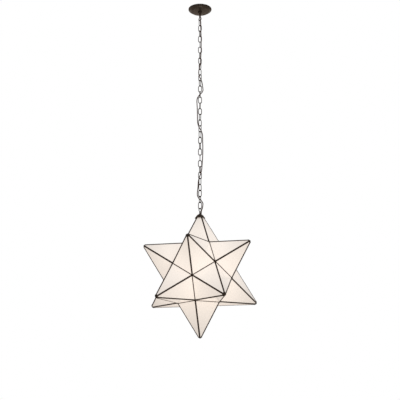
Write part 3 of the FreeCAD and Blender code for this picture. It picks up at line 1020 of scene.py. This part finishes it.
@dataclass
class Star:
    """Twelve points of glass, with cames and solder; the cames look as wide as in the photo."""

    cap: Cap
    tip_radius: float = 350.0 * MM
    blunt_radius: float = 341.0 * MM
    rim_below_tip: float = 39.8045 * MM
    glass: float = 3.0 * MM
    glass_gap: float = 0.3 * MM
    glass_edge: float = 0.25 * MM
    top_glass_cut: float = 12.0 * MM
    web: float = 1.5 * MM
    web_past_glass: float = 0.3 * MM
    ridge_reach: float = 5.0 * MM
    ridge_crest: float = 0.85 * MM
    ridge_rise: float = 1.5 * MM
    valley_reach: float = 3.0 * MM
    lip: float = 0.12 * MM
    joint_radius: float = 5.0 * MM
    joint_share: float = 0.97
    joint_wave: float = 0.05
    joint_flat: float = 0.25
    solder_gap: float = 0.3 * MM
    tip_sides: int = 20
    tip_length: float = 7.0 * MM
    under_cap: float = 7.5 * MM
    into_tip: float = 0.9 * MM
    into_joint: float = 1.6 * MM
    seed: int = 12

    # Solder of a tip, as distance towards the centre and radius in mm: the nose is counted from
    # the blunt tip, and the skirt, which covers the ends of the cames, from tip_length below it.
    SKIRT = ((0.6, 11.4), (-0.6, 10.9), (-1.8, 9.5))
    NOSE = ((3.6, 7.0), (1.8, 4.1), (0.6, 2.1), (0.05, 0.9))

    def __post_init__(self) -> None:
        """Place the centre and the tips, and start the random draws."""
        self.centre = Vector((0, 0, self.cap.rim_height + self.rim_below_tip - self.tip_radius))
        self.random = random.Random(self.seed)
        ring, rise = 2 / math.sqrt(5), 1 / math.sqrt(5)
        self.face_distance = self.tip_radius / math.sqrt(5)
        self.fold = math.acos(1 / math.sqrt(5)) / 2
        self.tips = {"top": Vector((0, 0, 1)), "bottom": Vector((0, 0, -1))}
        for k in range(5):
            self.tips[f"upper_{k + 1}"] = place(-90 + 72 * k, ring, rise)
            self.tips[f"lower_{k + 1}"] = place(-54 + 72 * k, ring, -rise)

    def near(self, tip: Vector) -> list[Vector]:
        """The five nearest tips in order round a tip.

        Args:
            tip: the tip's direction.

        Returns:
            The neighbours' directions.
        """
        close = [q for q in self.tips.values() if 0 < tip.dot(q) < 0.9]  # 0.45 for a neighbour
        first = close[0]
        across = tip.cross(first)
        return sorted(close, key=lambda q: math.atan2(q.dot(across), (q - tip * q.dot(tip)).dot(first)))

    def hollows(self, tip: Vector, near: list[Vector]) -> list[Vector]:
        """The five inner corners round a point, each between a neighbour and the one before."""
        totals = [tip + near[i - 1] + near[i] for i in range(5)]
        return [self.centre + total * (self.face_distance / total.dot(tip)) for total in totals]

    def peak(self, tip: Vector) -> Vector:
        """Where the ridge lines of a point would meet."""
        return self.centre + tip * self.tip_radius

    def cut_below(self, name: str) -> float:
        """How far below the peak the glass of a point begins."""
        if name == "top":
            return self.rim_below_tip - self.top_glass_cut
        return self.tip_radius - self.blunt_radius + self.tip_length + self.solder_gap

    @staticmethod
    def trim(corners: list[Vector], at: Vector, keep: Vector) -> list[Vector]:
        """A convex outline without what lies behind a plane.

        Args:
            corners: the outline.
            at: a point of the plane.
            keep: points to the kept side.

        Returns:
            The trimmed outline.
        """
        kept = []
        for here, there in zip(corners, corners[1:] + corners[:1]):
            d0, d1 = (here - at).dot(keep), (there - at).dot(keep)
            if d0 >= 0:
                kept.append(here)
            if d0 * d1 < 0:
                kept.append(here + (there - here) * (d0 / (d0 - d1)))
        return kept

    def panel_outline(self, name: str, facing: Vector, left: Vector, right: Vector) -> list[Vector]:
        """Outer outline of one triangle of glass.

        Args:
            name: the point's name.
            facing: the panel's normal.
            left: an inner corner.
            right: the other inner corner.

        Returns:
            The outline.
        """
        tip = self.tips[name]
        peak = self.peak(tip)
        at_valley = (self.web / 2 + self.glass_gap) / math.cos(self.fold)
        at_ridge = at_valley + self.glass * math.tan(self.fold)
        corners = [peak, left, right]
        middle = (peak + left + right) / 3
        for a, b, inset in ((peak, left, at_ridge), (peak, right, at_ridge), (left, right, at_valley)):
            inward = facing.cross(b - a).normalized()
            if inward.dot(middle - a) < 0:
                inward.negate()
            corners = self.trim(corners, a + inward * inset, inward)
        corners = self.trim(corners, peak - tip * self.cut_below(name), -tip)
        clear = self.joint_radius + self.solder_gap
        for corner, other in ((left, right), (right, left)):
            inward = ((peak - corner).normalized() + (other - corner).normalized()).normalized()
            corners = self.trim(corners, corner + inward * clear, inward)
        return corners

    def glass_point(self, name: str, near: list[Vector], corners: list[Vector]) -> None:
        """The five panels of one point, each with its own stretch of streaks and its own tone.

        Args:
            name: the point's name.
            near: its neighbours' directions, which the panels face.
            corners: its inner corners.
        """
        tip = self.tips[name]
        bm = bmesh.new()
        uv = bm.loops.layers.uv.new("panel")
        tone = bm.faces.layers.float.new("tone")
        for i, facing in enumerate(near):
            outline = self.panel_outline(name, facing, corners[i], corners[(i + 1) % 5])
            face, moved = slab(bm, outline, facing * -self.glass)
            own = {f for v in moved for f in v.link_faces} | {face}
            rim = [e for e in {e for f in own for e in f.edges} if e.calc_face_angle(0) > 0.5]
            bevelled = bmesh.ops.bevel(
                bm, geom=rim, offset=self.glass_edge, segments=2, profile=0.5, affect="EDGES",
                material=-1,
            )
            own = {f for f in own | set(bevelled["faces"]) if f.is_valid}
            up = (tip - facing * tip.dot(facing)).normalized()
            across = up.cross(facing)
            shift = Vector((self.random.uniform(0, 9), self.random.uniform(0, 9)))
            shade = self.random.random()
            for f in own:
                f[tone] = shade
                for loop in f.loops:
                    at = loop.vert.co - self.centre
                    loop[uv].uv = Vector((at.dot(across), at.dot(up))) + shift
        look = Look("star", Paint.GLASS, "opal_glass", (f"glass_point_{name}",), 20.0)
        piece(f"panels_{name}", bm, look)

    @staticmethod
    def came(bm: BMesh, start: Vector, end: Vector, outward: Vector, section: Profile) -> None:
        """A strip from start to end, with a section of (across, outward) corners."""
        across = (end - start).normalized().cross(outward)
        slab(bm, [start + across * x + outward * y for x, y in section], end - start)

    def ridge_section(self) -> Profile:
        """Rounded flange over two panels of one point, with its web.

        Returns:
            The section.
        """
        c, n, t = math.cos(self.fold), math.sin(self.fold), math.tan(self.fold)
        reach, crest, web = self.ridge_reach, self.ridge_crest, self.web / 2
        inset = (web + self.glass_gap + self.glass * n) / c
        depth = inset * n + self.glass * c + self.web_past_glass
        foot = Vector((reach * c, -reach * n))
        shoulder = Vector((0.75 * foot.x, 0.95 * crest))
        ends = (Vector((0, crest)), shoulder, foot + Vector((0, self.lip)))
        arc = [curve_point(*ends, k / 6) for k in range(7)]
        right = arc + [(foot.x, foot.y), (web, -web * t), (web, -depth)]
        return mirrored(right)

    def valley_section(self) -> Profile:
        """Hollow flange between two points, with its web.

        Returns:
            The section.
        """
        c, n, t = math.cos(self.fold), math.sin(self.fold), math.tan(self.fold)
        reach, web = self.valley_reach, self.web / 2
        inset = (web + self.glass_gap) / c
        depth = self.glass * c - inset * n + self.web_past_glass
        edge = (reach * c, reach * n)
        hollow = [(0.0, 0.72 * edge[1]), (0.6 * edge[0], 0.84 * edge[1])]
        right = hollow + [edge, (web, web * t), (web, -depth)]
        return mirrored(right)

    def tip_solder(self, bm: BMesh, tip: Vector) -> None:
        """A rounded lump that closes a point.

        Args:
            bm: the mesh to add to.
            tip: the point's direction.
        """
        short = self.tip_radius - self.blunt_radius
        turn = tip.to_track_quat("Z", "Y").to_matrix().to_4x4()
        rings = [(short + self.tip_length + below * MM, radius * MM) for below, radius in self.SKIRT]
        rings += [(short + below * MM, radius * MM) for below, radius in self.NOSE]
        ends = []
        before = None
        for below, radius in rings:
            at = Matrix.Translation(self.peak(tip) - tip * below)
            verts, edges = circle(bm, self.tip_sides, radius, at @ turn)
            ends.append(verts)
            if before:
                bmesh.ops.bridge_loops(bm, edges=before + edges)
            before = edges
        bm.faces.new(ends[0])
        bm.faces.new(ends[-1])

    def joint_solder(self, bm: BMesh, corner: Vector) -> None:
        """An uneven, flattened lump over an inner corner.

        Args:
            bm: the mesh to add to.
            corner: the inner corner.
        """
        out = (corner - self.centre).normalized()
        at = Matrix.Translation(corner)
        radius = self.joint_radius * self.joint_share
        made = bmesh.ops.create_icosphere(bm, subdivisions=3, radius=radius, matrix=at)
        seed = self.random.uniform(0, 6)
        for v in made["verts"]:
            away = v.co - corner
            wave = 0.5 + 0.5 * math.sin(math.atan2(away.x, away.y) * 3 + seed)
            sink = self.joint_flat * max(0, away.dot(out))
            v.co = corner + away * (1 - self.joint_wave * wave) - out * sink

    def build(self) -> None:
        """Make the glass, the cames and the solder."""
        clear = self.joint_radius - self.into_joint
        ridge, valley = self.ridge_section(), self.valley_section()
        ridges, valleys, tips, joints = (bmesh.new() for _ in range(4))
        seen = set()
        for name, tip in self.tips.items():
            near = self.near(tip)
            corners = self.hollows(tip, near)
            self.glass_point(name, near, corners)
            if name == "top":
                below = self.rim_below_tip - self.under_cap
            else:
                below = self.cut_below(name) - self.into_tip
                self.tip_solder(tips, tip)
            for i, corner in enumerate(corners):
                outward = (near[i - 1] + near[i]).normalized()
                way = (corner - self.peak(tip)).normalized()
                lift = self.ridge_rise * outward.dot(tip)
                start = self.peak(tip) + way * ((below + lift) / -way.dot(tip))
                self.came(ridges, start, corner - way * clear, outward, ridge)
                fold = frozenset(tuple(round(v, 5) for v in end) for end in (tip, near[i]))
                if fold not in seen:
                    seen.add(fold)
                    following = corners[(i + 1) % 5]
                    run = (following - corner).normalized() * clear
                    outward = (tip + near[i]).normalized()
                    self.came(valleys, corner + run, following - run, outward, valley)
                joint = tuple(round(v, 5) for v in corner)
                if joint not in seen:
                    seen.add(joint)
                    self.joint_solder(joints, corner)
        piece("ridge_strips", ridges, Look("star", Paint.RIDGE, "came", ("ridge_cames",), 40.0))
        piece("valley_strips", valleys, Look("star", Paint.VALLEY, "came", ("valley_cames",), 40.0))
        piece("tip_solder", tips, Look("star", Paint.SOLDER, "came", smooth=50.0))
        piece("joint_solder", joints, Look("star", Paint.SOLDER, "came", smooth=80.0))


# ---- hidden parts ----


class HiddenParts:
    """CAD pieces that keep their own shape and only take a finish."""

    PAINTS = {
        "crossbar": Paint.STEEL,
        "canopy_nut": Paint.STEEL,
        "stem_nut": Paint.STEEL,
        "stem_pipe": Paint.STEEL,
        "socket": Paint.SOCKET,
        "bulb_base": Paint.SHELL,
        "bulb_glass": Paint.BULB,
    }

    def build(self) -> None:
        """Paint every carried-over node."""
        for node, paint in self.PAINTS.items():
            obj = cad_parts[node]
            obj.data.materials.clear()
            obj.data.materials.append(paint.material)
            log.info("%s: %s", node, paint.value.name)


# ---- studio ----


@dataclass(frozen=True)
class Lamp:
    """One soft area light."""

    name: str
    location: Triple
    size: float
    power: float
    colour: Triple


LAMPS = (
    Lamp("key", (-1.6, -3.4, 1.6), size=2.6, power=6.0, colour=(0.96, 0.98, 1.0)),
    Lamp("fill", (2.6, -2.6, 1.2), size=2.6, power=8.0, colour=(0.96, 0.98, 1.0)),
    Lamp("low", (0.75, -1.8, -3.1), size=1.6, power=15.0, colour=(1.0, 0.94, 0.87)),
)


@dataclass(frozen=True)
class Studio:
    """Floor, white background, lights and the photo's camera."""

    camera_place: Triple = (0.9522, -4.4493, -2.3994)
    pitch: float = 15.289
    yaw: float = 12.08
    lens: float = 77.36
    sensor: float = 36.0
    clip_end: float = 50.0
    aim: Triple = (0.0, 0.0, -1.4)
    floor_height: float = -3.3
    floor_reach: float = 30.0
    sky: Triple = (1.0, 0.985, 0.965)
    sky_strength: float = 0.68

    def build(self) -> None:
        """Make the whole studio."""
        self.floor()
        self.world()
        self.lights()
        self.camera()
        settings = bpy.context.scene.view_settings
        settings.view_transform = "Standard"
        settings.look = "None"

    def floor(self) -> None:
        """A plain floor well below the star."""
        bm = bmesh.new()
        level = Matrix.Translation((0, 0, self.floor_height))
        bmesh.ops.create_grid(bm, x_segments=1, y_segments=1, size=self.floor_reach, matrix=level)
        obj = to_object("floor", bm, Paint.FLOOR)

    def world(self) -> None:
        """White to the camera, a softer warm grey to everything else."""
        world = bpy.data.worlds.new("studio")
        world.use_nodes = True
        tree = world.node_tree
        tree.nodes.clear()
        path = tree.nodes.new("ShaderNodeLightPath")
        mix = tree.nodes.new("ShaderNodeMixShader")
        out = tree.nodes.new("ShaderNodeOutputWorld")
        shades = ((self.sky, self.sky_strength), ((1.0, 1.0, 1.0), 1.0))
        for socket, (colour, strength) in zip(mix.inputs[1:], shades):
            shade = tree.nodes.new("ShaderNodeBackground")
            shade.inputs[0].default_value = (*colour, 1.0)
            shade.inputs[1].default_value = strength
            tree.links.new(shade.outputs[0], socket)
        tree.links.new(path.outputs["Is Camera Ray"], mix.inputs[0])
        tree.links.new(mix.outputs[0], out.inputs[0])
        bpy.context.scene.world = world

    def lights(self) -> None:
        """Soft area lights that face the star."""
        for lamp in LAMPS:
            data = bpy.data.lights.new(lamp.name, "AREA")
            data.shape = "DISK"
            data.size = lamp.size
            data.energy = lamp.power
            data.color = lamp.colour
            obj = bpy.data.objects.new(lamp.name, data)
            obj.location = lamp.location
            obj.rotation_mode = "QUATERNION"
            obj.rotation_quaternion = (Vector(self.aim) - obj.location).to_track_quat("-Z", "Y")
            bpy.context.collection.objects.link(obj)
            log.info("lamp %s: %.0f W", lamp.name, lamp.power)

    def camera(self) -> None:
        """The photo's camera."""
        data = bpy.data.cameras.new("camera")
        data.sensor_width = self.sensor
        data.lens = self.lens
        data.clip_end = self.clip_end
        obj = bpy.data.objects.new("camera", data)
        obj.location = self.camera_place
        obj.rotation_euler = (math.radians(90 + self.pitch), 0, math.radians(self.yaw))
        bpy.context.collection.objects.link(obj)
        bpy.context.scene.camera = obj


def main() -> None:
    """Build the pendant and its studio in order."""
    wire = Wire()
    chain = Chain(wire)
    canopy = Canopy(wire, chain)
    cap = Cap(wire, chain)
    canopy.build()
    chain.build()
    Cord(chain, canopy, cap).build()
    cap.build()
    Star(cap).build()
    HiddenParts().build()
    Studio().build()


if __name__ == "__main__":
    main()
